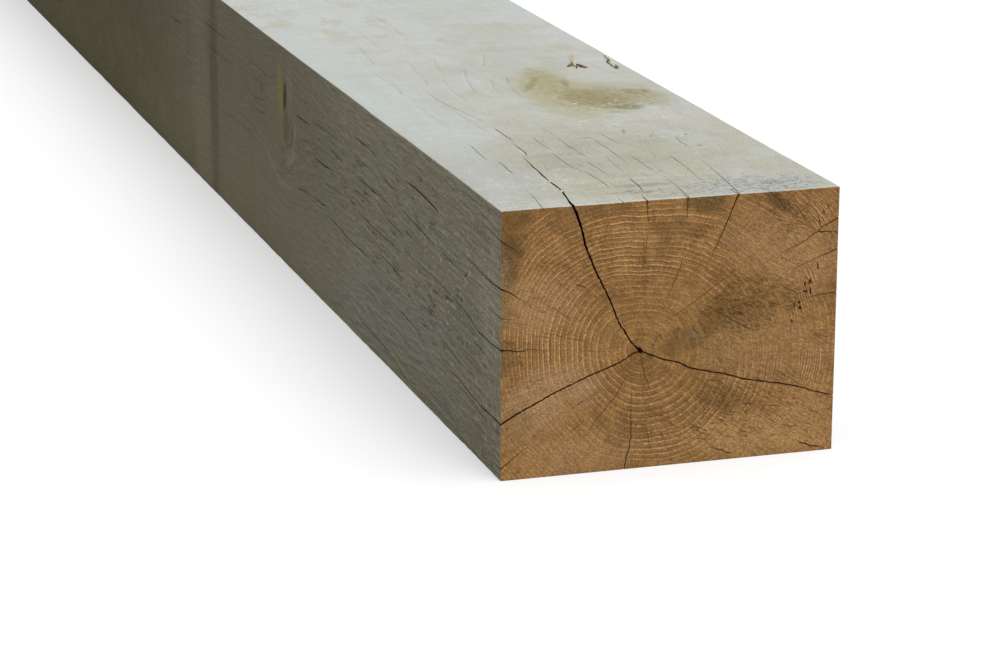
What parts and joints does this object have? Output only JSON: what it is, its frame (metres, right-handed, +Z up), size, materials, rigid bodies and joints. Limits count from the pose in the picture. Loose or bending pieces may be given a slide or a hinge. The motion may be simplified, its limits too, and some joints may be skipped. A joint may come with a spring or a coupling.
{
  "type": "oak beam",
  "caption": "Sawn rectangular oak beam with the heart boxed in, radial drying shakes in its ends and weathered long faces.",
  "frame": {"origin": "centre of the broad face that the beam lies on, at mid length", "axes": "+Y along the beam, away from the end with the wide top shake; +X across its width; +Z up, through its depth"},
  "size_m": [0.225, 2.4, 0.175],
  "materials": {
    "weathered_oak": "sawn and unplaned: grey weathered long faces, clean brown end grain"
  },
  "bodies": {
    "root": {"oak_beam": "weathered_oak"}
  },
  "joints": []
}
